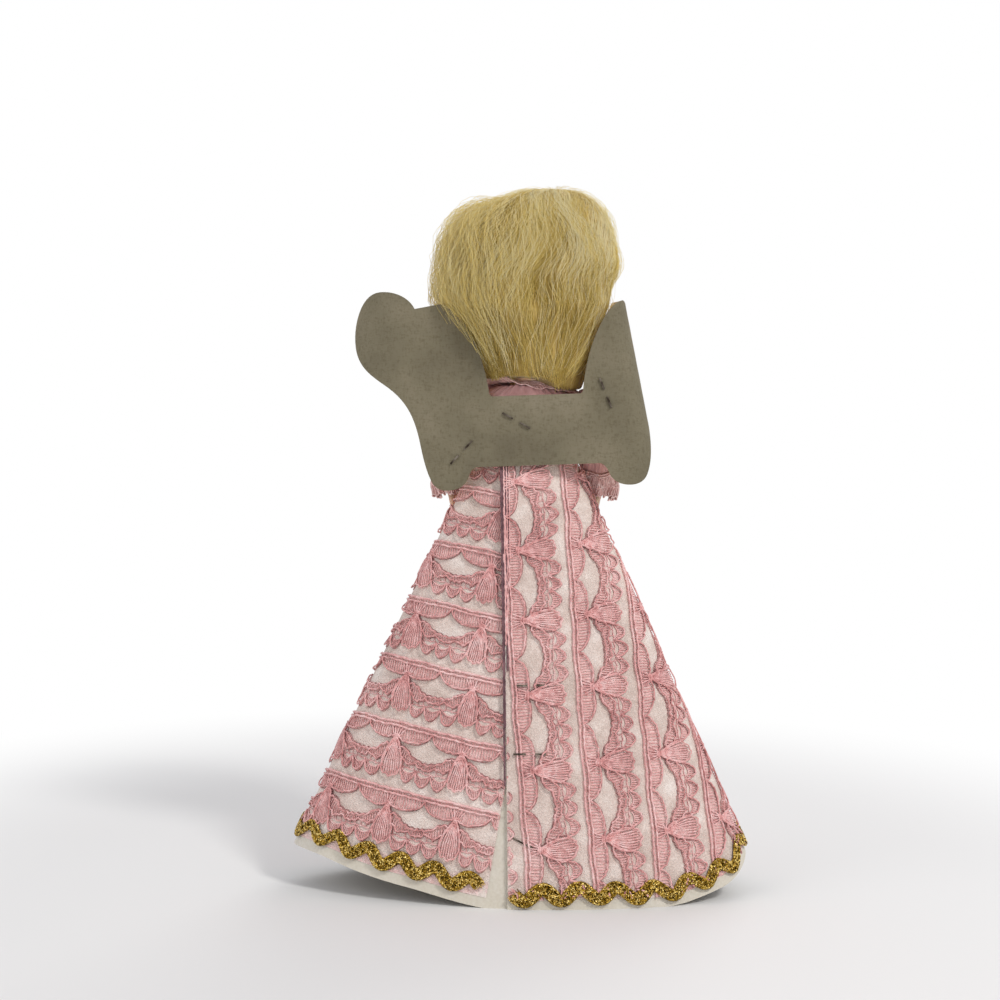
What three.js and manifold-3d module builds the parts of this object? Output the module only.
// Celluloid angel doll for the top of a tree, in millimetres, +Z up, its face towards -Y.
// A card cone stands on its rim, a hollow celluloid torso sits over the cone's tip, and the
// head and both arms turn on it. Wings of card are stapled to the doll's back.

import * as THREE from 'three';
import Module from 'manifold-3d';

const solids = await Module();
solids.setup();
const { Manifold, Mesh: ManifoldMesh } = solids;

// Clearances
const seatGap = 0.3;              // between pieces that touch
const glueGap = 0.15;             // between a sheet and what it is glued on
const staplePlay = 0.3;           // round a staple's leg in its hole

// Skirt cone
const coneApexHeight = 215;       // where the rolled card would come to a point
const coneSlant = 219;            // from that point to the rim, the same all round
const rimHalfWidth = 91;
const rimHalfDepth = 36;
const cardThickness = 0.7;
const tipSlant = 32;              // the card is cut off here, under the torso
const flapEdgeAtTip = 10.2;       // the seam's edge, to the left of the back's middle
const flapEdgeAtRim = 4.8;
const flapOverlap = 17;
const flapStep = 30;              // degrees of turn in which the card drops off the overlap
const laceThickness = 0.5;
const laceHemRise = 4;            // bare card left below the lace
const longSide = 6.2;             // how much longer the card is cut at the back's right
const shortSide = 3.5;            // and how much shorter at the back's left
const laceSeamGap = 4;            // the lace stops this far before the seam

// Rick-rack braid near the hem
const braidRise = 6;              // middle of the braid, up from the rim, where it starts
const braidClimb = 2.2;           // it ends that much higher, after its turn round the rim
const braidWidth = 5.5;
const braidWave = 2.5;
const braidPitch = 14.5;
const braidThickness = 0.8;
const braidSeamGap = 9;

// Staples
const stapleCrown = 12.7;
const stapleWire = 0.5;
const stapleFlat = 0.7;
const stapleClinch = 4.8;
const topStapleHeight = 83.5;
const middleStapleHeight = 57.4;
const bottomStapleHeight = 23.5;
const stapleAside = 1.6;          // the lowest one's distance from the back's middle

// Celluloid torso, its heights counted from the cone's point
const waistDrop = 39;
const torsoHeight = 26.5;
const shoulderHalfWidth = 19.5;
const chestHalfDepth = 10.3;
const celluloidWall = 0.9;
const torsoPower = 2.2;           // over 2, the torso is squarer than an ellipse
const neckRimRadius = 8;
const plugRadius = 5.2;
const plugFlangeRadius = 6.9;
const plugFlangeThickness = 1.2;
const plugReach = 9;              // how far the plug goes into the torso and into the head
const clothThickness = 0.5;

// Head
const headHalfWidth = 21;
const headHalfDepth = 22;
const headHalfHeight = 25;
const neckRadius = 7.2;
const neckLength = 14;

// Hair
const hairTopAboveHead = 20;
const hairFullHalfWidth = 36;
const hairFullHalfDepth = 30;
const hairHemAboveNeck = 1.2;     // its lower edge, up from the foot of the neck
const hairLean = 13.5;            // how far its top lies over to the right
const hairBulge = 2.4;            // and its fullest part to the left
const faceHalfWidth = 16;
const throatDepth = 60;

// Arms
const wireRadius = 0.6;
const armRootRadius = 5;
const wristRadius = 2.7;
const armLength = 41;
const sleeveEase = 1.3;           // room between the arm and its sleeve
const sleeveFlare = 3.4;
const cuffDepth = 10;

// Wings
const boardThickness = 1.2;
const facingThickness = 0.3;
const wingTilt = 2.8;             // degrees, as it is stapled on
const wingShift = -3.6;
const wingCurlRadius = 9;
const wingCurlDegrees = 96;
const lobeCurlRadius = 34;
const lobeCurlDegrees = 40;

// Heights that follow
const waistHeight = coneApexHeight - waistDrop;
const neckRimHeight = waistHeight + torsoHeight;
const neckFootHeight = neckRimHeight + seatGap + plugFlangeThickness + seatGap;
const headCentreHeight = neckFootHeight + neckLength + headHalfHeight * 0.8;
const shoulderHeight = neckRimHeight - 10.5;

function radians(degrees) {
  return degrees * Math.PI / 180;
}

function smooth(from, to, value) {
  return THREE.MathUtils.smoothstep(value, from, to);
}

function mix(a, b, share) {
  return a + (b - a) * share;
}

// Surface that joins a row of closed loops of points. Its ends are joined to each other,
// closed by fans, or, for the section of a sheet, closed by a strip between its two faces.
function skin(loops, ends) {
  const count = loops[0].length;
  const points = loops.flat();
  const index = [];
  const rows = ends === 'joined' ? loops.length : loops.length - 1;
  for (let row = 0; row < rows; row += 1) {
    const here = row * count;
    const next = ((row + 1) % loops.length) * count;
    for (let i = 0; i < count; i += 1) {
      const j = (i + 1) % count;
      index.push(here + i, here + j, next + j);
      index.push(here + i, next + j, next + i);
    }
  }
  if (ends === 'fans') {
    for (const [row, flip] of [[0, true], [loops.length - 1, false]]) {
      const centre = new THREE.Vector3();
      for (const point of loops[row]) {
        centre.add(point);
      }
      points.push(centre.divideScalar(count));
      for (let i = 0; i < count; i += 1) {
        const a = row * count + i;
        const b = row * count + (i + 1) % count;
        index.push(...(flip ? [b, a, points.length - 1] : [a, b, points.length - 1]));
      }
    }
  }
  if (ends === 'strips') {
    for (const [row, flip] of [[0, true], [loops.length - 1, false]]) {
      for (let i = 0; i < count / 2 - 1; i += 1) {
        const a = row * count + i;
        const b = row * count + i + 1;
        const c = row * count + count - 2 - i;
        const d = row * count + count - 1 - i;
        index.push(...(flip ? [b, a, c, c, a, d] : [a, b, c, a, c, d]));
      }
    }
  }
  const geometry = new THREE.BufferGeometry().setFromPoints(points);
  geometry.setIndex(facingOut(points, index));
  return geometry;
}

function facingOut(points, index) {
  let volume = 0;
  for (let i = 0; i < index.length; i += 3) {
    const a = points[index[i]];
    const b = points[index[i + 1]];
    const c = points[index[i + 2]];
    volume += a.dot(new THREE.Vector3().crossVectors(b, c));
  }
  if (volume > 0) {
    return index;
  }
  const turned = [];
  for (let i = 0; i < index.length; i += 3) {
    turned.push(index[i], index[i + 2], index[i + 1]);
  }
  return turned;
}

// Boolean work
function toManifold(geometry) {
  const source = geometry.index ? geometry.toNonIndexed() : geometry;
  const position = source.getAttribute('position');
  const mesh = new ManifoldMesh({
    numProp: 3,
    vertProperties: new Float32Array(position.array),
    triVerts: Uint32Array.from({ length: position.count }, (_, i) => i),
  });
  mesh.merge();
  return new Manifold(mesh);
}

function toGeometry(manifold) {
  const mesh = manifold.getMesh();
  const geometry = new THREE.BufferGeometry();
  geometry.setAttribute('position', new THREE.BufferAttribute(new Float32Array(mesh.vertProperties), 3));
  geometry.setIndex(new THREE.BufferAttribute(new Uint32Array(mesh.triVerts), 1));
  return geometry;
}

function cut(geometry, tools) {
  let body = toManifold(geometry);
  for (const tool of tools) {
    body = body.subtract(toManifold(tool));
  }
  return toGeometry(body);
}

// The card's cone, by turn: 0 at +X, a quarter at the back
function coneRay(turn) {
  const x = rimHalfWidth * Math.cos(turn);
  const y = rimHalfDepth * Math.sin(turn);
  const drop = Math.sqrt(coneSlant ** 2 - x ** 2 - y ** 2);
  return new THREE.Vector3(x, y, -drop).divideScalar(coneSlant);
}

function coneNormal(turn) {
  const step = 0.001;
  const along = coneRay(turn + step).sub(coneRay(turn - step));
  return coneRay(turn).cross(along).normalize();
}

function conePoint(turn, slant, lift) {
  const point = coneRay(turn).multiplyScalar(slant);
  point.addScaledVector(coneNormal(turn), lift);
  point.z += coneApexHeight;
  return point;
}

function coneHalfWidth(height) {
  return rimHalfWidth * (coneApexHeight - height) / Math.sqrt(coneSlant ** 2 - rimHalfWidth ** 2);
}

function coneHalfDepth(height) {
  return rimHalfDepth * (coneApexHeight - height) / Math.sqrt(coneSlant ** 2 - rimHalfDepth ** 2);
}

// Turn of a point that lies `aside` millimetres to the left of the back's middle
function turnAside(aside, slant) {
  const opened = Math.asin(Math.min(0.95, Math.max(-0.95, aside / slant)));
  return Math.PI / 2 - opened * coneSlant / rimHalfWidth;
}

function flapEdge(slant) {
  return turnAside(mix(flapEdgeAtTip, flapEdgeAtRim, slant / coneSlant), slant);
}

function underEdge(slant) {
  return turnAside(mix(flapEdgeAtTip, flapEdgeAtRim, slant / coneSlant) - flapOverlap, slant);
}

// How much the card is cut longer or shorter than the even cone, by turn; its seam and its
// front are even
function rimSkew(turn) {
  const degrees = THREE.MathUtils.euclideanModulo(turn * 180 / Math.PI, 360);
  const long = smooth(100, 135, degrees) * (1 - smooth(148, 180, degrees));
  const short = smooth(0, 36, degrees) * (1 - smooth(60, 88, degrees));
  return longSide * long - shortSide * short;
}

// How far the card stands off the cone where it lies over its other edge
function flapLift(turn, slant) {
  const dropStart = underEdge(slant) + radians(2);
  const share = smooth(dropStart, dropStart + radians(flapStep), turn);
  return (cardThickness + glueGap) * (1 - share);
}

// Every sheet on the cone has its creases at the same turns and slants, so the sheets lie face
// to face: the two edges of the card, the two edges of the lace, and even steps in between.
function laceStart(slant) {
  return flapEdge(slant) + radians(0.6);
}

function laceEnd(slant) {
  return flapEdge(slant) + 2 * Math.PI - laceSeamGap / slant * coneSlant / rimHalfWidth;
}

const evenFrom = Math.PI / 2 + radians(35);
const evenTo = 2 * Math.PI + radians(12);
const laceTop = tipSlant + 2 * seatGap + 1.4;
const laceHem = coneSlant - laceHemRise;
const turnZones = [
  { from: flapEdge, to: laceStart, steps: 1 },
  { from: laceStart, to: () => evenFrom, steps: 8 },
  { from: () => evenFrom, to: () => evenTo, steps: 44 },
  { from: () => evenTo, to: laceEnd, steps: 8 },
  { from: laceEnd, to: (slant) => underEdge(slant) + 2 * Math.PI, steps: 4 },
];
const slantStops = [tipSlant, laceTop, laceTop + 12, laceTop + 50, laceHem, coneSlant];

function sheetTurns(slant, zones) {
  const turns = [zones[0].from(slant)];
  for (const { from, to, steps } of zones) {
    for (let i = 1; i <= steps; i += 1) {
      turns.push(mix(from(slant), to(slant), i / steps));
    }
  }
  return turns;
}

// A slant near the rim goes with the skew of the rim
function skewed(turn, slant) {
  return slant + rimSkew(turn) * smooth(laceTop + 50, laceHem, slant);
}

function coneSheet(zones, slants, inner, thickness) {
  const turns = slants.map((slant) => sheetTurns(slant, zones));
  return skin(turns[0].map((_, i) => {
    const outside = [];
    const inside = [];
    slants.forEach((slant, j) => {
      const reach = skewed(turns[j][i], slant);
      const lift = inner + flapLift(turns[j][i], slant);
      outside.push(conePoint(turns[j][i], reach, lift + thickness));
      inside.unshift(conePoint(turns[j][i], reach, lift));
    });
    return [...outside, ...inside];
  }), 'strips');
}

// Staple with its crown below and its clinched legs above, along X, the sheets between 0 and `grip`
function stapleShape(grip) {
  const half = stapleCrown / 2;
  const low = -seatGap - stapleWire;
  const high = grip + seatGap + stapleWire;
  const shape = new THREE.Shape();
  shape.moveTo(-half + 0.3, low);
  shape.lineTo(half - 0.3, low);
  shape.quadraticCurveTo(half, low, half, low + 0.3);
  shape.lineTo(half, high - 0.3);
  shape.quadraticCurveTo(half, high, half - 0.4, high);
  shape.quadraticCurveTo(half - stapleClinch / 2, high + 0.35, half - stapleClinch, high - 0.1);
  shape.lineTo(half - stapleClinch, high - stapleWire - 0.05);
  const under = high - stapleWire;
  shape.quadraticCurveTo(half - stapleClinch / 2, under + 0.3, half - stapleWire, under);
  shape.lineTo(half - stapleWire, low + stapleWire);
  shape.lineTo(-half + stapleWire, low + stapleWire);
  shape.lineTo(-half + stapleWire, high - stapleWire);
  shape.quadraticCurveTo(-half + stapleClinch / 2, under + 0.3, -half + stapleClinch, under - 0.05);
  shape.lineTo(-half + stapleClinch, high - 0.1);
  shape.quadraticCurveTo(-half + stapleClinch / 2, high + 0.35, -half + 0.4, high);
  shape.quadraticCurveTo(-half, high, -half, high - 0.3);
  shape.lineTo(-half, low + 0.3);
  shape.quadraticCurveTo(-half, low, -half + 0.3, low);
  return shape;
}

function stapleGeometry(grip) {
  const geometry = new THREE.ExtrudeGeometry(stapleShape(grip), {
    depth: stapleFlat,
    bevelEnabled: false,
    curveSegments: 2,
  });
  geometry.translate(0, 0, -stapleFlat / 2);
  return geometry;
}

// The two holes that a staple's legs make, as tools to cut with
function stapleHoles(grip, place) {
  const wide = stapleWire + 2 * staplePlay;
  const flat = stapleFlat + 2 * staplePlay;
  return [-1, 1].map((side) => {
    const tool = new THREE.BoxGeometry(wide, grip + 8, flat);
    tool.translate(side * (stapleCrown - stapleWire) / 2, grip / 2, 0);
    return tool.applyMatrix4(place);
  });
}

// Frame with X along `along`, Y along the outward normal
function seat(origin, along, outward) {
  const z = new THREE.Vector3().crossVectors(along, outward).normalize();
  const x = new THREE.Vector3().crossVectors(outward, z).normalize();
  const place = new THREE.Matrix4().makeBasis(x, outward, z);
  return place.setPosition(origin);
}

// Seam staples: height, side and slope as photographed
const seamStaples = [
  { name: 'seam_staple_top', height: topStapleHeight, aside: -stapleAside - 2, slope: 0 },
  { name: 'seam_staple_middle', height: middleStapleHeight, aside: -stapleAside - 1.3, slope: 0 },
  { name: 'seam_staple_bottom', height: bottomStapleHeight, aside: -stapleAside, slope: 26 },
];
const seamGrip = 2 * cardThickness + 2 * glueGap + laceThickness;

function seamSeat({ height, aside, slope }) {
  const slant = (coneApexHeight - height) / Math.cos(Math.asin(rimHalfDepth / coneSlant));
  const turn = turnAside(aside, slant);
  const normal = coneNormal(turn);
  const down = coneRay(turn);
  const sideways = new THREE.Vector3().crossVectors(normal, down).normalize();
  const along = sideways.multiplyScalar(Math.cos(radians(slope)));
  along.addScaledVector(down, -Math.sin(radians(slope)));
  return seat(conePoint(turn, slant, 0), along, normal);
}

const seamHoles = seamStaples.flatMap((staple) => stapleHoles(seamGrip, seamSeat(staple)));

// Skirt
function skirtCard() {
  const sheet = coneSheet(turnZones, slantStops, 0, cardThickness);
  const standing = toManifold(sheet).trimByPlane([0, 0, 1], 0);
  return cut(toGeometry(standing), seamHoles);
}

function laceCover() {
  const stops = slantStops.slice(1, 5);
  const sheet = coneSheet(turnZones.slice(1, 4), stops, cardThickness + glueGap, laceThickness);
  return cut(sheet, seamHoles);
}

// The braid's middle line is a wave along the rim; distance is found by walking round
function hemBraid() {
  const start = flapEdge(coneSlant) + radians(1.5);
  const end = flapEdge(coneSlant) + 2 * Math.PI - braidSeamGap / rimHalfWidth;
  const fine = 2000;
  const middle = coneSlant - braidRise;
  const lengths = [0];
  for (let i = 1; i <= fine; i += 1) {
    const a = conePoint(mix(start, end, (i - 1) / fine), middle, 0);
    const b = conePoint(mix(start, end, i / fine), middle, 0);
    lengths.push(lengths[i - 1] + a.distanceTo(b));
  }
  const total = lengths[fine];
  const waves = Math.round(total / braidPitch);
  const steps = waves * 6;
  const inner = cardThickness + glueGap + laceThickness + glueGap;
  const loops = [];
  let at = 0;
  for (let i = 0; i <= steps; i += 1) {
    while (at < fine && lengths[at] < total * i / steps) {
      at += 1;
    }
    const turn = mix(start, end, at / fine);
    const climb = braidClimb * i / steps;
    const wave = skewed(turn, middle - climb + braidWave * Math.sin(2 * Math.PI * i / 6));
    const lift = inner + flapLift(turn, wave);
    const upper = wave - braidWidth / 2;
    const lower = wave + braidWidth / 2;
    loops.push([
      conePoint(turn, upper, lift + braidThickness),
      conePoint(turn, lower, lift + braidThickness),
      conePoint(turn, lower, lift),
      conePoint(turn, upper, lift),
    ]);
  }
  return skin(loops, 'strips');
}

// Level ring, a little squarer than an ellipse when power is over 2
function ring(height, halfWidth, halfDepth, count, power = 2) {
  const points = [];
  for (let i = 0; i < count; i += 1) {
    const angle = 2 * Math.PI * i / count;
    const c = Math.cos(angle);
    const s = Math.sin(angle);
    points.push(new THREE.Vector3(
      halfWidth * Math.sign(c) * Math.abs(c) ** (2 / power),
      halfDepth * Math.sign(s) * Math.abs(s) ** (2 / power),
      height,
    ));
  }
  return points;
}

// Torso: the waist goes over the cone, the shoulders round in to the neck
const waistHalfWidth = coneHalfWidth(waistHeight) + cardThickness + laceThickness + 2 * glueGap
  + seatGap + celluloidWall;
const waistHalfDepth = coneHalfDepth(waistHeight) + 2 * cardThickness + laceThickness + 3 * glueGap
  + seatGap + celluloidWall;

// Half-width, half-depth and height of the torso's outside, from waist to neck rim
function torsoSection(share) {
  const chest = smooth(0, 0.45, share);
  const over = smooth(0.62, 1, share);
  const round = Math.sqrt(1 - over ** 2);
  const halfWidth = mix(waistHalfWidth, shoulderHalfWidth, chest);
  const halfDepth = mix(waistHalfDepth, chestHalfDepth, chest);
  return {
    height: waistHeight + torsoHeight * share,
    halfWidth: mix(neckRimRadius, halfWidth, round),
    halfDepth: mix(neckRimRadius, halfDepth, round),
  };
}

const torsoShares = [0, 0.22, 0.45, 0.62, 0.75, 0.84, 0.91, 0.96, 1];

function torsoRings(grow, count) {
  return torsoShares.map((share) => {
    const section = torsoSection(share);
    const rise = share > 0.6 ? grow * 0.9 : 0;
    const out = share > 0.95 ? grow * 0.4 : grow;
    return ring(section.height + rise, section.halfWidth + out, section.halfDepth + out, count, torsoPower);
  });
}

function wireHole(radius) {
  const hole = new THREE.CylinderGeometry(radius, radius, 4 * shoulderHalfWidth, 16);
  hole.rotateZ(Math.PI / 2);
  hole.translate(0, 0, shoulderHeight);
  return hole;
}

function torsoShell() {
  const outside = skin(torsoRings(0, 28), 'fans');
  const hollowRings = torsoRings(-celluloidWall, 28);
  hollowRings.unshift(hollowRings[0].map((point) => point.clone().setZ(point.z - 2)));
  const hollow = skin(hollowRings, 'fans');
  const neck = new THREE.CylinderGeometry(plugRadius + seatGap, plugRadius + seatGap, 20, 28);
  neck.rotateX(Math.PI / 2);
  neck.translate(0, 0, neckRimHeight - 2);
  return cut(outside, [hollow, neck, wireHole(wireRadius + seatGap), ...centreHoles]);
}

// Bodice of cloth over the torso, its neck edge under the collar
function bodiceCloth() {
  const outer = [];
  const inner = [];
  torsoShares.slice(0, 8).forEach((share) => {
    const section = torsoSection(share);
    const lift = share > 0.6 ? 0.9 : 0;
    const near = seatGap;
    const far = seatGap + clothThickness;
    const { height, halfWidth, halfDepth } = section;
    outer.push(ring(height + lift * far, halfWidth + far, halfDepth + far, 28, torsoPower));
    inner.unshift(ring(height + lift * near, halfWidth + near, halfDepth + near, 28, torsoPower));
  });
  return cut(skin([...outer, ...inner], 'joined'), [wireHole(wireRadius + 2 * seatGap), ...centreHoles]);
}

const clothOut = seatGap + clothThickness;

// Collar of gathered lace that lies on the shoulders, with flutes that grow outwards
function collarLace() {
  const count = 52;
  const flutes = 13;
  const innerWidth = neckRadius + 2 * seatGap;
  const outerWidth = shoulderHalfWidth - 0.5;
  const outerDepth = chestHalfDepth + clothOut - 0.2;
  const top = [];
  const under = [];
  for (const share of [0, 0.34, 0.67, 1]) {
    const upper = [];
    const lower = [];
    for (let i = 0; i < count; i += 1) {
      const angle = 2 * Math.PI * i / count;
      const fold = 0.45 * share * Math.sin(flutes * angle);
      const x = mix(innerWidth, outerWidth, share) * Math.cos(angle);
      const y = mix(innerWidth, outerDepth, share) * Math.sin(angle);
      const fall = 3.4 * share ** 1.6;
      const base = neckRimHeight + seatGap + 0.9 - fall + fold;
      upper.push(new THREE.Vector3(x, y, base + clothThickness));
      lower.push(new THREE.Vector3(x, y, base));
    }
    top.push(upper);
    under.unshift(lower);
  }
  return skin([...top, ...under], 'joined');
}

// Turned plug that joins head and torso; the head turns on its upper end
function neckPlug() {
  const flangeFoot = neckRimHeight + seatGap;
  const flangeTop = flangeFoot + plugFlangeThickness;
  const profile = [
    new THREE.Vector2(0, flangeFoot - plugReach),
    new THREE.Vector2(plugRadius - 0.8, flangeFoot - plugReach),
    new THREE.Vector2(plugRadius, flangeFoot - plugReach + 0.8),
    new THREE.Vector2(plugRadius, flangeFoot),
    new THREE.Vector2(plugFlangeRadius, flangeFoot),
    new THREE.Vector2(plugFlangeRadius, flangeTop),
    new THREE.Vector2(plugRadius, flangeTop),
    new THREE.Vector2(plugRadius, flangeTop + plugReach - 0.8),
    new THREE.Vector2(plugRadius - 0.8, flangeTop + plugReach),
    new THREE.Vector2(0, flangeTop + plugReach),
  ];
  const plug = new THREE.LatheGeometry(profile, 20);
  plug.rotateX(Math.PI / 2);
  return plug;
}

// A rounded rise or hollow on the face, by side, height and spread
function bump(x, z, atX, atZ, spreadX, spreadZ) {
  return Math.exp(-(((x - atX) / spreadX) ** 2) - ((z - atZ) / spreadZ) ** 2);
}

// Point of the head's outside in a direction, its face modelled on the front half
function headPoint(longitude, latitude, grow, withFace) {
  const c = Math.cos(latitude);
  const direction = new THREE.Vector3(Math.sin(longitude) * c, -Math.cos(longitude) * c, Math.sin(latitude));
  const low = Math.max(0, -direction.z);
  const narrow = 1 - 0.2 * low ** 2;
  const x = (headHalfWidth + grow) * direction.x * narrow;
  let y = (headHalfDepth + grow) * direction.y * (direction.y < 0 ? 1 - 0.08 * low : 1 - 0.12 * low);
  const z = (headHalfHeight + grow) * direction.z;
  if (withFace && direction.y < 0) {
    const front = smooth(0.05, 0.6, -direction.y);
    const nose = 2.3 * bump(x, z, 0, -4.5, 2.3, 3.2);
    const cheeks = 1.3 * (bump(x, z, 9.5, -8, 5.5, 5) + bump(x, z, -9.5, -8, 5.5, 5));
    const eyes = -1.0 * (bump(x, z, 7.4, 0.5, 4, 2.6) + bump(x, z, -7.4, 0.5, 4, 2.6));
    const mouth = 0.8 * bump(x, z, 0, -11.6, 3.4, 1.5);
    const chin = 1.2 * bump(x, z, 0, -18, 5, 3.5);
    y -= front * (nose + cheeks + eyes + mouth + chin);
  }
  return new THREE.Vector3(x, y, z + headCentreHeight);
}

// The head and the room for it in the hair have the same facets, so that they keep their gap
const headAround = 30;
const headUp = 20;

function headRings(grow, around, up, withFace) {
  const loops = [];
  for (let j = 1; j < up; j += 1) {
    const latitude = mix(-Math.PI / 2, Math.PI / 2, j / up);
    const loop = [];
    for (let i = 0; i < around; i += 1) {
      loop.push(headPoint(2 * Math.PI * i / around, latitude, grow, withFace));
    }
    loops.push(loop);
  }
  return loops;
}

function neckSolid(radius, foot, waist) {
  const profile = [
    new THREE.Vector2(0, foot),
    new THREE.Vector2(radius, foot),
    new THREE.Vector2(radius - waist, neckFootHeight + neckLength * 0.5),
    new THREE.Vector2(radius, neckFootHeight + neckLength),
    new THREE.Vector2(0, neckFootHeight + neckLength + 4),
  ];
  const neck = new THREE.LatheGeometry(profile, 24);
  neck.rotateX(Math.PI / 2);
  return neck;
}

function headShell() {
  const outside = toManifold(skin(headRings(0, headAround, headUp, true), 'fans'));
  const body = outside.add(toManifold(neckSolid(neckRadius, neckFootHeight, 0.3)));
  const hollow = toManifold(skin(headRings(-celluloidWall - 1.4, 20, 12, false), 'fans'));
  const bore = toManifold(neckSolid(plugRadius + seatGap, neckFootHeight - 2, 0));
  return toGeometry(body.subtract(hollow.add(bore)));
}

// Wing outline, right half as (aside, up) from the middle of the notch, its left half mirrored
const notchHalfWidth = 18;
const strapHeight = 28;
const wingHalfSpan = 72.7;
const lobeTop = 43.3;
const shoulderTop = 37.4;
const tailDrop = 37;

function wingShape() {
  const shape = new THREE.Shape();
  const span = wingHalfSpan;
  const side = notchHalfWidth;
  shape.moveTo(0, 0);
  shape.lineTo(side - 1, 0);
  shape.quadraticCurveTo(side + 0.6, 0, side + 0.8, 1.6);
  shape.bezierCurveTo(side + 2, 13, side + 6, 25, side + 12, shoulderTop - 4.6);
  shape.quadraticCurveTo(side + 15, shoulderTop - 1, side + 19, shoulderTop);
  shape.lineTo(span - 25.4, shoulderTop - 1.6);
  shape.bezierCurveTo(span - 23, lobeTop - 2.2, span - 17, lobeTop, span - 11.6, lobeTop);
  shape.bezierCurveTo(span - 4, lobeTop, span, lobeTop - 9, span, lobeTop - 17);
  shape.bezierCurveTo(span, 16, span - 5, 11.5, span - 12, 6.2);
  shape.bezierCurveTo(span - 21, -0.5, span - 24, -7, span - 26, -19);
  shape.quadraticCurveTo(span - 27.5, 9 - tailDrop, span - 29.6, 4.4 - tailDrop);
  shape.quadraticCurveTo(span - 31.4, -tailDrop, span - 36, -tailDrop);
  shape.quadraticCurveTo(span - 43, -tailDrop, span - 45, 6 - tailDrop);
  shape.quadraticCurveTo(span - 46.4, -strapHeight, span - 48.6, -strapHeight);
  shape.lineTo(0, -strapHeight);
  const half = shape.getPoints(4);
  const points = [...half];
  for (let i = half.length - 2; i > 0; i -= 1) {
    points.push(new THREE.Vector2(-half[i].x, half[i].y));
  }
  return new THREE.Shape(points);
}

// Bend of the flat wing: past a leaning line the sheet rolls forwards round a radius
function curl(u, w, depth, startU, startW, lean, radius, most) {
  const side = Math.sign(startU);
  const nu = side * Math.cos(lean);
  const nw = Math.sin(lean);
  const past = (u - startU) * nu + (w - startW) * nw;
  if (past <= 0) {
    return [u, w, depth];
  }
  const angle = Math.min(past / radius, most);
  const straight = past - angle * radius;
  const around = radius + depth;
  const out = around * Math.sin(angle) + straight * Math.cos(angle);
  const back = around * Math.cos(angle) - straight * Math.sin(angle) - radius;
  return [u + (out - past) * nu, w + (out - past) * nw, back];
}

// One flat mesh of the outline serves the board and its facing, back and front, so that they
// stay face to face when bent
function flatMesh() {
  const slab = new THREE.ExtrudeGeometry(wingShape(), { depth: 1, bevelEnabled: false });
  const mesh = toManifold(slab).refineToLength(9.5).getMesh();
  const corners = [];
  const index = [];
  for (let i = 0; i < mesh.numVert; i += 1) {
    corners.push(new THREE.Vector3().fromArray(mesh.vertProperties, i * mesh.numProp));
  }
  for (let i = 0; i < mesh.triVerts.length; i += 3) {
    const triangle = [...mesh.triVerts.slice(i, i + 3)];
    if (triangle.every((corner) => corners[corner].z > 0.5)) {
      index.push(triangle);
    }
  }
  return { corners, index };
}

const flatWing = flatMesh();

const rightCurlLine = wingHalfSpan - 39.3;
const leftCurlLine = wingHalfSpan - 18.7;
const curlLineDrop = 3;
const curlLineRise = 10;

function bentPoint(corner, depth) {
  const most = radians(corner.x < 0 ? wingCurlDegrees : lobeCurlDegrees);
  const [u, w, back] = corner.x < 0
    ? curl(corner.x, corner.y, depth, -rightCurlLine, -curlLineDrop, radians(9), wingCurlRadius, most)
    : curl(corner.x, corner.y, depth, leftCurlLine, curlLineRise, radians(12), lobeCurlRadius, most);
  return new THREE.Vector3(u, w, back).applyMatrix4(wingPlace());
}

// The board's back faces the back, flat on the facing, which lies on the bodice
const facingFront = chestHalfDepth + clothOut + seatGap;
const boardFront = facingFront + facingThickness + glueGap;
const boardBack = boardFront + boardThickness;
const notchHeight = neckRimHeight - 4.2;

function wingPlace() {
  const place = new THREE.Matrix4().makeRotationY(radians(wingTilt));
  place.setPosition(wingShift, boardFront, notchHeight);
  const standUp = new THREE.Matrix4().makeBasis(
    new THREE.Vector3(1, 0, 0),
    new THREE.Vector3(0, 0, 1),
    new THREE.Vector3(0, 1, 0),
  );
  return place.multiply(standUp);
}

// Wing staples, by place on the board and slope
const wingStaples = [
  { name: 'wing_staple_centre', u: notchHalfWidth - 9.7, w: 18 - strapHeight, slope: 31, throughTorso: true },
  { name: 'wing_staple_left', u: wingHalfSpan - 42.1, w: 15.1 - tailDrop, slope: -45, throughTorso: false },
  { name: 'wing_staple_right', u: 45.1 - wingHalfSpan, w: -0.2, slope: 70, throughTorso: false },
];

// Inner face of the torso's back, at a distance aside from its middle
function torsoInside(aside) {
  const share = Math.min(0.98, Math.abs(aside) / shoulderHalfWidth);
  return chestHalfDepth * (1 - share ** torsoPower) ** (1 / torsoPower) - celluloidWall * 1.15;
}

function wingStapleSeat({ u, w, slope, throughTorso }) {
  const farEnd = Math.abs(u + wingShift) + stapleCrown / 2 * Math.cos(radians(slope));
  const foot = throughTorso ? torsoInside(farEnd) : facingFront;
  const origin = new THREE.Vector3(u, w, 0).applyMatrix4(wingPlace());
  origin.y = foot;
  const along = new THREE.Vector3(Math.cos(radians(slope)), 0, Math.sin(radians(slope)));
  along.applyAxisAngle(new THREE.Vector3(0, 1, 0), radians(wingTilt));
  return { place: seat(origin, along, new THREE.Vector3(0, 1, 0)), grip: boardBack - foot };
}

const centreSeat = wingStapleSeat(wingStaples[0]);
const centreHoles = stapleHoles(centreSeat.grip, centreSeat.place);
const boardHoles = wingStaples.flatMap((staple) => {
  const { place, grip } = wingStapleSeat(staple);
  return stapleHoles(grip, place);
});

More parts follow.
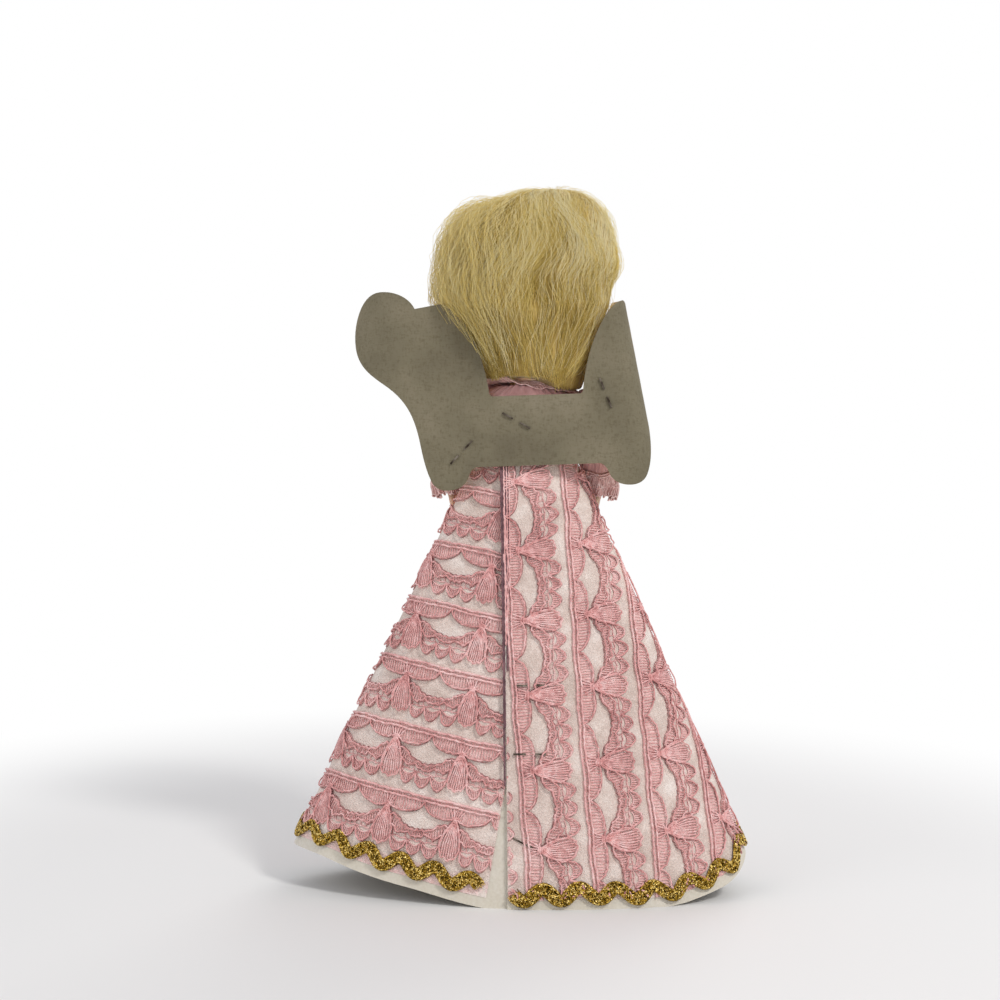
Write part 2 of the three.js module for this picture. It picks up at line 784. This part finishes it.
function wingSheet(near, far) {
  const { corners, index } = flatWing;
  const points = [near, far].flatMap((depth) => corners.map((corner) => bentPoint(corner, depth)));
  const back = corners.length;
  const faces = [];
  const walls = new Set();
  for (const [a, b, c] of index) {
    faces.push(a, c, b, a + back, b + back, c + back);
    for (const [from, to] of [[a, b], [b, c], [c, a]]) {
      if (!walls.delete(`${to},${from}`)) {
        walls.add(`${from},${to}`);
      }
    }
  }
  for (const wall of walls) {
    const [from, to] = wall.split(',').map(Number);
    faces.push(from, to, to + back, from, to + back, from + back);
  }
  const geometry = new THREE.BufferGeometry().setFromPoints(points);
  geometry.setIndex(facingOut(points, faces));
  return cut(geometry, boardHoles);
}

// Hair: a full crown, and below it round the head's own axis, so that it turns clear of the wings
function notchReach(height) {
  const up = Math.max(0, height - notchHeight);
  const side = notchHalfWidth + 0.8 + 0.11 * up + 0.0075 * up ** 2;
  return side - Math.abs(wingShift) + up * Math.sin(radians(wingTilt)) - 0.9;
}

function hairHang(height) {
  return Math.sqrt(notchReach(height) ** 2 + facingFront ** 2) - seatGap;
}

const hairHem = neckFootHeight + hairHemAboveNeck;
const hairTop = headCentreHeight + headHalfHeight + hairTopAboveHead;
const wingTopHeight = notchHeight + lobeTop + 2;

function hairRings(around, up) {
  const loops = [];
  for (let j = 0; j <= up; j += 1) {
    const share = j / up;
    const height = mix(hairHem, hairTop, Math.sin(share * Math.PI / 2) ** 1.15);
    const loop = [];
    for (let i = 0; i < around; i += 1) {
      const angle = 2 * Math.PI * i / around;
      const middle = mix(hairHem, hairTop, 0.52);
      const upper = Math.max(0, (height - middle) / (hairTop - middle));
      const dome = Math.sqrt(Math.max(0.004, 1 - upper ** 2.2));
      const fullX = hairFullHalfWidth * dome;
      const fullY = hairFullHalfDepth * dome;
      const full = 1 / Math.hypot(Math.cos(angle) / fullX, Math.sin(angle) / fullY);
      const hang = hairHang(height);
      const open = smooth(wingTopHeight - 1, wingTopHeight + 8, height);
      const lock = 1 + 0.018 * Math.sin(11 * angle + 5 * share) + 0.012 * Math.sin(17 * angle - 8 * share);
      const kept = Math.min(full, hang) / 1.03;
      const radius = mix(kept, full, open) * (share < 0.04 ? 0.94 : 1) * lock;
      const lean = hairBulge * open - hairLean * upper ** 2;
      loop.push(new THREE.Vector3(radius * Math.cos(angle) + lean, radius * Math.sin(angle), height));
    }
    loops.push(loop);
  }
  return loops;
}

// What the hair leaves free: the head, the neck and the face in front
function faceOpening() {
  const shape = new THREE.Shape();
  const centre = headCentreHeight - 6;
  shape.absellipse(0, centre, faceHalfWidth, headHalfHeight * 0.86, 0, 2 * Math.PI);
  const depth = 3 * headHalfDepth;
  const tool = new THREE.ExtrudeGeometry(shape, { depth, bevelEnabled: false, curveSegments: 14 });
  tool.rotateX(Math.PI / 2);
  tool.translate(0, -headHalfDepth * 0.35, 0);
  return tool;
}

function hairWig() {
  const mass = toManifold(skin(hairRings(32, 14), 'fans'));
  const room = toManifold(skin(headRings(seatGap, headAround, headUp, true), 'fans'));
  const neck = new THREE.CylinderGeometry(neckRadius + 2, neckRadius + 1.2, 2 * neckLength, 28);
  neck.rotateX(Math.PI / 2);
  neck.translate(0, 0, neckFootHeight + neckLength * 0.6);
  const throat = new THREE.BoxGeometry(2 * neckRadius + 2.4, throatDepth, neckLength * 2.4);
  throat.translate(0, -throatDepth / 2, neckFootHeight + neckLength * 0.2);
  const tools = room.add(toManifold(neck)).add(toManifold(throat)).add(toManifold(faceOpening()));
  return toGeometry(mass.subtract(tools));
}

// Arms: one curve for each side, from the shoulder out, down and forward past the skirt
const armRootX = shoulderHalfWidth + clothOut + seatGap;
const wristHeight = shoulderHeight - armLength * 0.76;
const wristX = coneHalfWidth(wristHeight) + 5.2;
const wristY = -(coneHalfDepth(wristHeight) + 3.2);

function armCurve(side) {
  return new THREE.CatmullRomCurve3([
    new THREE.Vector3(side * armRootX, 0, shoulderHeight),
    new THREE.Vector3(side * (armRootX + 3.6), 0, shoulderHeight - 0.3),
    new THREE.Vector3(side * (armRootX + 8), -0.9, shoulderHeight - 5),
    new THREE.Vector3(side * (armRootX + 9.7), -4, shoulderHeight - 15),
    new THREE.Vector3(side * wristX, wristY, wristHeight),
    new THREE.Vector3(side * (wristX - 1.6), wristY - 2.4, shoulderHeight - armLength),
  ], false, 'centripetal');
}

// Rings square to the curve, the first exactly level with the shoulder's face
function armRings(side, from, to, steps, count, halfSizes) {
  const curve = armCurve(side);
  const loops = [];
  for (let j = 0; j <= steps; j += 1) {
    const share = mix(from, to, j / steps);
    const centre = curve.getPointAt(share);
    const along = share === 0 ? new THREE.Vector3(side, 0, 0) : curve.getTangentAt(share);
    const across = new THREE.Vector3(0, 1, 0);
    across.addScaledVector(along, -across.dot(along)).normalize();
    const third = new THREE.Vector3().crossVectors(along, across);
    const loop = [];
    for (let i = 0; i < count; i += 1) {
      const angle = 2 * Math.PI * i / count;
      const [wide, deep] = halfSizes(share, angle, j / steps);
      const point = centre.clone();
      point.addScaledVector(across, deep * Math.cos(angle));
      point.addScaledVector(third, wide * Math.sin(angle));
      loop.push(point);
    }
    loops.push(loop);
  }
  return loops;
}

function armRadius(share) {
  return mix(armRootRadius, wristRadius, smooth(0.05, 0.78, share));
}

// Forearm ends in a mitten hand, flattened, with rounded finger tips
function armSizes(share) {
  const hand = smooth(0.78, 0.88, share);
  const tip = share > 0.9 ? Math.sqrt(Math.max(0.02, 1 - ((share - 0.9) / 0.1) ** 2)) : 1;
  const radius = armRadius(share);
  return [mix(radius, 2.1, hand) * tip, mix(radius, 3.5, hand) * tip];
}

function arm(side) {
  const outside = skin(armRings(side, 0, 1, 16, 14, armSizes), 'fans');
  const hollow = skin(armRings(side, 0.04, 0.7, 7, 10, (share) => {
    const radius = armRadius(share) - celluloidWall;
    return [radius, radius];
  }), 'fans');
  return cut(outside, [hollow, wireHole(wireRadius + seatGap)]);
}

// Wire through both shoulders, each end bent up inside its arm
function armWire() {
  const reach = armRootX + 2.6;
  const bend = 1.1;
  const path = new THREE.CurvePath();
  const at = (x, z) => new THREE.Vector3(x, 0, shoulderHeight + z);
  path.add(new THREE.LineCurve3(at(-reach, 2.4), at(-reach, bend)));
  path.add(new THREE.QuadraticBezierCurve3(at(-reach, bend), at(-reach, 0), at(-reach + bend, 0)));
  path.add(new THREE.LineCurve3(at(-reach + bend, 0), at(reach - bend, 0)));
  path.add(new THREE.QuadraticBezierCurve3(at(reach - bend, 0), at(reach, 0), at(reach, bend)));
  path.add(new THREE.LineCurve3(at(reach, bend), at(reach, 2.4)));
  const section = new THREE.Shape();
  section.absarc(0, 0, wireRadius, 0, 2 * Math.PI);
  return new THREE.ExtrudeGeometry(section, {
    steps: 28,
    extrudePath: path,
    bevelEnabled: false,
    curveSegments: 2,
  });
}

// Gathered sleeve, with flutes that open towards its hem
const sleeveEnd = 0.7;
const sleeveFlutes = 6;
const sleeveFacets = 24;

function sleeveSizes(extra) {
  return (share, angle) => {
    const flare = sleeveFlare * (share / sleeveEnd) ** 1.3;
    const fold = 0.55 * smooth(0.15, 1, share / sleeveEnd) * Math.cos(sleeveFlutes * angle);
    const radius = armRadius(share) + sleeveEase + flare + fold + extra;
    return [radius * 0.95, radius];
  };
}

function sleeve(side) {
  const outer = armRings(side, 0.015, sleeveEnd, 9, sleeveFacets, sleeveSizes(clothThickness));
  const inner = armRings(side, 0.015, sleeveEnd, 9, sleeveFacets, sleeveSizes(0)).reverse();
  return skin([...outer, ...inner], 'joined');
}

// Lace frill round the hem of the sleeve, with a scalloped edge
function cuffLace(side) {
  const start = sleeveEnd - 0.03;
  const reach = cuffDepth / 46;
  const curve = armCurve(side);
  const rows = [0, 0.5, 1];
  const make = (extra) => rows.map((row) => {
    const loop = [];
    for (let i = 0; i < sleeveFacets; i += 1) {
      const angle = 2 * Math.PI * i / sleeveFacets;
      const scallop = row === 1 ? 0.022 * Math.abs(Math.sin(sleeveFlutes * angle)) : 0;
      const share = start + reach * row * 0.9 + scallop;
      const centre = curve.getPointAt(Math.min(share, 1));
      const along = curve.getTangentAt(Math.min(share, 1));
      const across = new THREE.Vector3(0, 1, 0);
      across.addScaledVector(along, -across.dot(along)).normalize();
      const third = new THREE.Vector3().crossVectors(along, across);
      const size = sleeveSizes(clothThickness + glueGap + extra)(sleeveEnd, angle)[1];
      const radius = size + 0.6 * row * Math.cos(sleeveFlutes * angle);
      centre.addScaledVector(across, radius * Math.cos(angle));
      centre.addScaledVector(third, radius * 0.95 * Math.sin(angle));
      loop.push(centre);
    }
    return loop;
  });
  return skin([...make(clothThickness), ...make(0).reverse()], 'joined');
}

// Materials, by what the piece is made of
const finishes = {
  card: { color: 0xd9d2c6, roughness: 0.85, metalness: 0 },
  lace: { color: 0xd79aa2, roughness: 0.8, metalness: 0 },
  braid: { color: 0xc9a64a, roughness: 0.35, metalness: 0.8 },
  staple: { color: 0x6a6258, roughness: 0.5, metalness: 0.9 },
  chipboard: { color: 0x7d745c, roughness: 0.95, metalness: 0 },
  giltPaper: { color: 0xc8a552, roughness: 0.35, metalness: 0.7 },
  celluloid: { color: 0xe9b894, roughness: 0.35, metalness: 0 },
  cloth: { color: 0xc98a92, roughness: 0.85, metalness: 0 },
  wood: { color: 0xb98f5c, roughness: 0.75, metalness: 0 },
  hair: { color: 0xd8c070, roughness: 0.7, metalness: 0 },
  wire: { color: 0x77736c, roughness: 0.4, metalness: 0.9 },
};

const doll = new THREE.Group();
doll.name = 'angel_doll';

function addPiece(name, geometry, finish, place) {
  const material = new THREE.MeshStandardMaterial({ ...finishes[finish], name: finish });
  const mesh = new THREE.Mesh(geometry, material);
  mesh.name = name;
  if (place) {
    mesh.applyMatrix4(place);
  }
  doll.add(mesh);
}

addPiece('skirt_card', skirtCard(), 'card');
addPiece('lace_cover', laceCover(), 'lace');
addPiece('hem_rickrack', hemBraid(), 'braid');
for (const staple of seamStaples) {
  addPiece(staple.name, stapleGeometry(seamGrip), 'staple', seamSeat(staple));
}
addPiece('torso_shell', torsoShell(), 'celluloid');
addPiece('bodice_cloth', bodiceCloth(), 'cloth');
addPiece('collar_lace', collarLace(), 'lace');
addPiece('neck_plug', neckPlug(), 'wood');
addPiece('head_shell', headShell(), 'celluloid');
addPiece('hair_wig', hairWig(), 'hair');
addPiece('arm_wire', armWire(), 'wire');
for (const [name, side] of [['left', 1], ['right', -1]]) {
  addPiece(`${name}_arm`, arm(side), 'celluloid');
  addPiece(`${name}_sleeve`, sleeve(side), 'cloth');
  addPiece(`${name}_cuff_lace`, cuffLace(side), 'lace');
}
addPiece('wing_board', wingSheet(0, boardThickness), 'chipboard');
addPiece('wing_facing', wingSheet(-glueGap - facingThickness, -glueGap), 'giltPaper');
for (const staple of wingStaples) {
  const { place, grip } = wingStapleSeat(staple);
  addPiece(staple.name, stapleGeometry(grip), 'staple', place);
}

export default doll;
